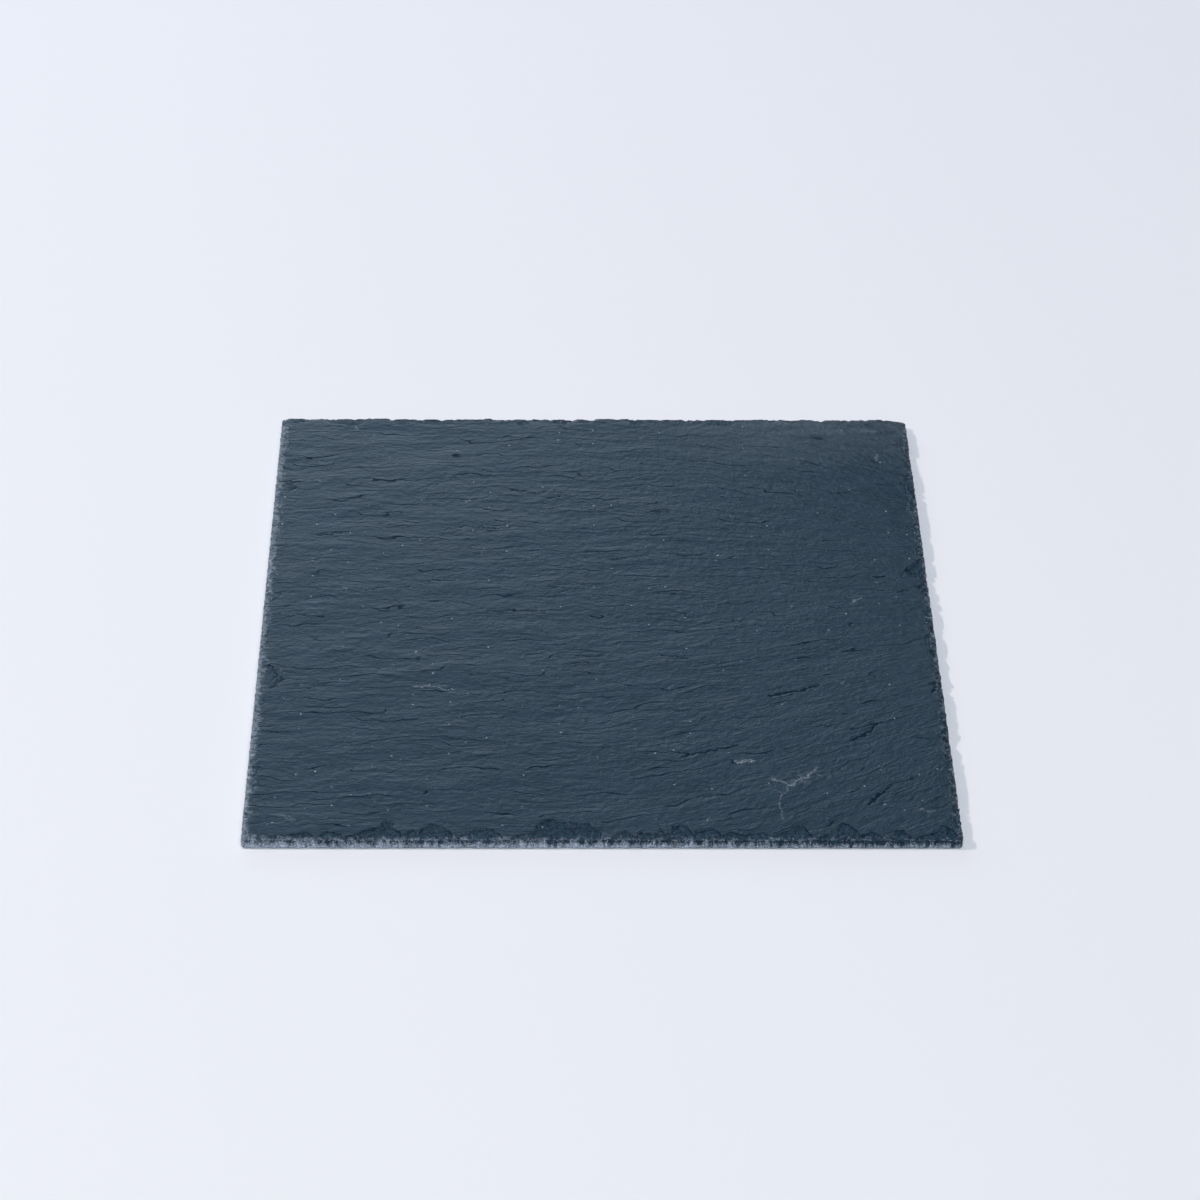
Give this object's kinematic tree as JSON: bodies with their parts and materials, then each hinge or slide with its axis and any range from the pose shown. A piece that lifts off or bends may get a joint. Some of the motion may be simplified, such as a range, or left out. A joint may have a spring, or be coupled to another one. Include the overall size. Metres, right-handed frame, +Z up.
{
  "type": "slate serving board",
  "caption": "Square board of split slate with hand-dressed chipped edges, on thin foam feet, for serving cheese and snacks.",
  "frame": {"origin": "on the table plane under the middle of the board", "axes": "+Z up out of the upper face, +Y towards the back edge, +X along the front edge to the right"},
  "size_m": [0.3, 0.3, 0.0057],
  "materials": {
    "slate": "matte",
    "foam": "matte",
    "adhesive": "matte"
  },
  "bodies": {
    "root": {"slate_slab": "slate", "foam_foot_front_left": "foam", "foam_foot_front_right": "foam", "foam_foot_back_left": "foam", "foam_foot_back_right": "foam", "adhesive_disc_front_left": "adhesive", "adhesive_disc_front_right": "adhesive", "adhesive_disc_back_left": "adhesive", "adhesive_disc_back_right": "adhesive"}
  },
  "joints": []
}
